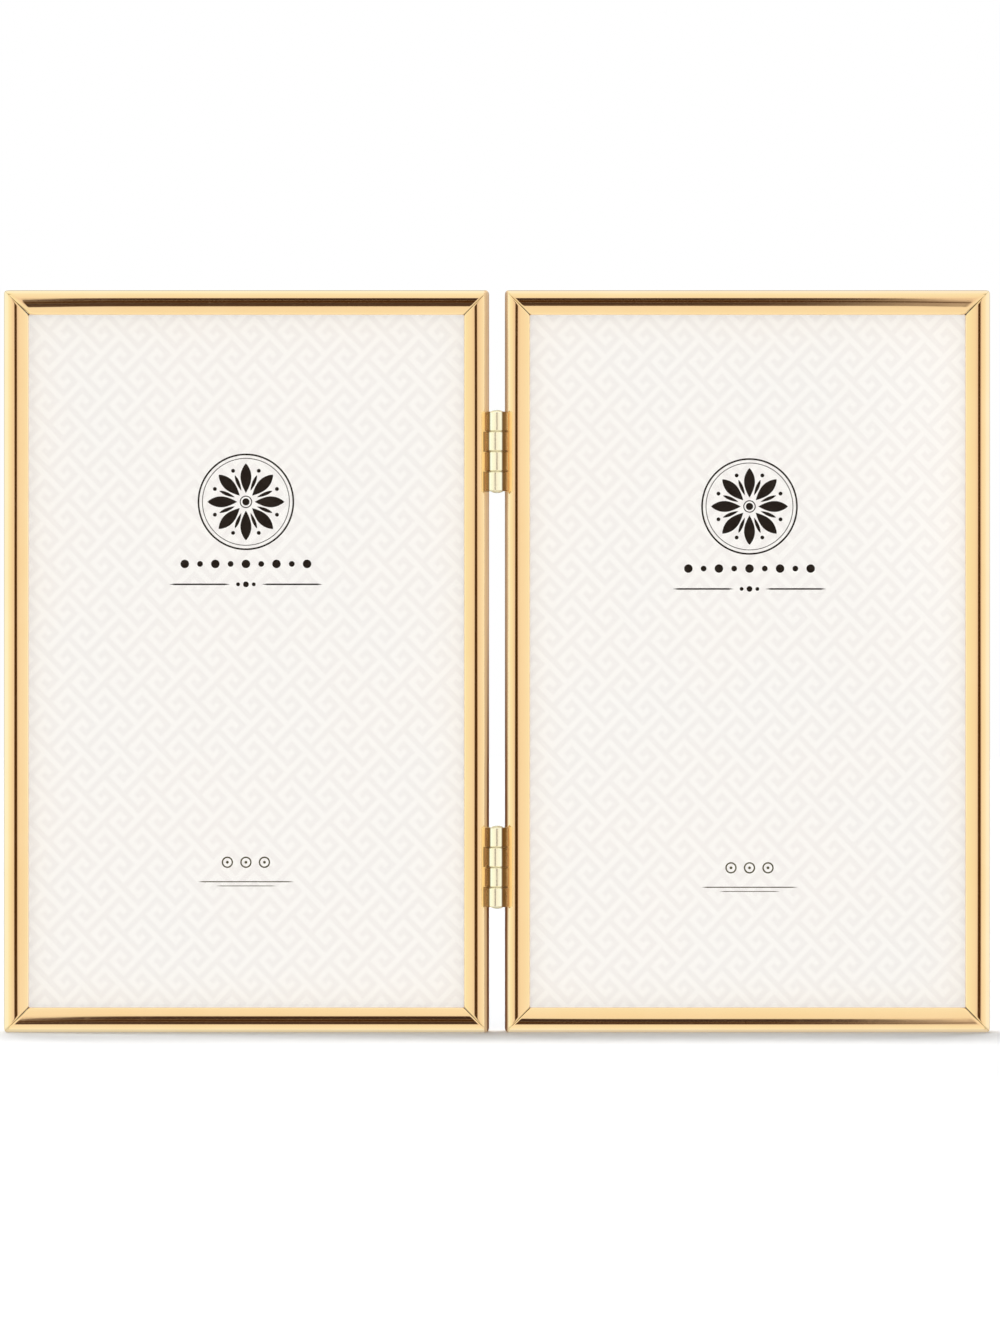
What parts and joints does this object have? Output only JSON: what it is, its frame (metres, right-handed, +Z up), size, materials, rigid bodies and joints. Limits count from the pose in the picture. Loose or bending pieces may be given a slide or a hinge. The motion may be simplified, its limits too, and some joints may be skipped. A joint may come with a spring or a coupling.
{
  "type": "hinged double picture frame",
  "caption": "Book-style double picture frame: slim mitred gold metal leaves for portrait pictures, joined by small barrel hinges, with turn buttons behind.",
  "frame": {"origin": "on the base plane, at the middle of the object's box seen from above; X = 0 is the middle of the gap between the leaves", "axes": "+Z up, +X towards the right-hand leaf seen from the front, the front faces -Y"},
  "size_m": [0.2126, 0.0138, 0.16],
  "materials": {
    "moulding": "polished gold plate on a thin rolled channel",
    "hinge_brass": "bright turned brass with fine drawn lines",
    "clip_brass": "stamped brass, lightly rubbed",
    "steel": "plain steel strip",
    "glass": "clear picture glass",
    "paper": "printed insert paper, matt",
    "hardboard": "pressed fibre board",
    "velveteen": "black short-pile velveteen"
  },
  "bodies": {
    "left_leaf": {"left_top_rail": "moulding", "left_bottom_rail": "moulding", "left_outer_rail": "moulding", "left_hinge_side_rail": "moulding", "left_corner_keys": "steel", "left_top_ledge": "steel", "left_bottom_ledge": "steel", "left_glass": "glass", "left_insert": "paper", "left_back_board": "hardboard", "left_velveteen": "velveteen", "left_turn_button_rivets": "clip_brass", "left_hinge_rivets": "hinge_brass", "upper_hinge_left_plate": "hinge_brass", "lower_hinge_left_plate": "hinge_brass", "upper_hinge_pin": "hinge_brass", "lower_hinge_pin": "hinge_brass"},
    "right_leaf": {"right_top_rail": "moulding", "right_bottom_rail": "moulding", "right_outer_rail": "moulding", "right_hinge_side_rail": "moulding", "right_corner_keys": "steel", "right_top_ledge": "steel", "right_bottom_ledge": "steel", "right_glass": "glass", "right_insert": "paper", "right_back_board": "hardboard", "right_velveteen": "velveteen", "right_turn_button_rivets": "clip_brass", "right_hinge_rivets": "hinge_brass", "upper_hinge_right_plate": "hinge_brass", "lower_hinge_right_plate": "hinge_brass"},
    "left_top_outer_button": {"left_turn_button_top_outer": "clip_brass"},
    "left_top_inner_button": {"left_turn_button_top_inner": "clip_brass"},
    "left_bottom_outer_button": {"left_turn_button_bottom_outer": "clip_brass"},
    "left_bottom_inner_button": {"left_turn_button_bottom_inner": "clip_brass"},
    "right_top_outer_button": {"right_turn_button_top_outer": "clip_brass"},
    "right_top_inner_button": {"right_turn_button_top_inner": "clip_brass"},
    "right_bottom_outer_button": {"right_turn_button_bottom_outer": "clip_brass"},
    "right_bottom_inner_button": {"right_turn_button_bottom_inner": "clip_brass"}
  },
  "joints": [
    {"name": "leaf_fold", "type": "hinge", "parent": "left_leaf", "child": "right_leaf", "pos_m": [0, -0.00428, 0.08], "axis": [0, 0, 1], "range_deg": [-180, 0]},
    {"name": "left_top_outer_button_turn", "type": "hinge", "parent": "left_leaf", "child": "left_top_outer_button", "pos_m": [-0.082, 0.00513, 0.15755], "axis": [0, 1, 0], "range_deg": [-90, 90]},
    {"name": "left_top_inner_button_turn", "type": "hinge", "parent": "left_leaf", "child": "left_top_inner_button", "pos_m": [-0.026, 0.00513, 0.15755], "axis": [0, 1, 0], "range_deg": [-90, 90]},
    {"name": "left_bottom_outer_button_turn", "type": "hinge", "parent": "left_leaf", "child": "left_bottom_outer_button", "pos_m": [-0.082, 0.00513, 0.00245], "axis": [0, 1, 0], "range_deg": [-90, 90]},
    {"name": "left_bottom_inner_button_turn", "type": "hinge", "parent": "left_leaf", "child": "left_bottom_inner_button", "pos_m": [-0.026, 0.00513, 0.00245], "axis": [0, 1, 0], "range_deg": [-90, 90]},
    {"name": "right_top_outer_button_turn", "type": "hinge", "parent": "right_leaf", "child": "right_top_outer_button", "pos_m": [0.082, 0.00513, 0.15755], "axis": [0, 1, 0], "range_deg": [-90, 90]},
    {"name": "right_top_inner_button_turn", "type": "hinge", "parent": "right_leaf", "child": "right_top_inner_button", "pos_m": [0.026, 0.00513, 0.15755], "axis": [0, 1, 0], "range_deg": [-90, 90]},
    {"name": "right_bottom_outer_button_turn", "type": "hinge", "parent": "right_leaf", "child": "right_bottom_outer_button", "pos_m": [0.082, 0.00513, 0.00245], "axis": [0, 1, 0], "range_deg": [-90, 90]},
    {"name": "right_bottom_inner_button_turn", "type": "hinge", "parent": "right_leaf", "child": "right_bottom_inner_button", "pos_m": [0.026, 0.00513, 0.00245], "axis": [0, 1, 0], "range_deg": [-90, 90]}
  ]
}
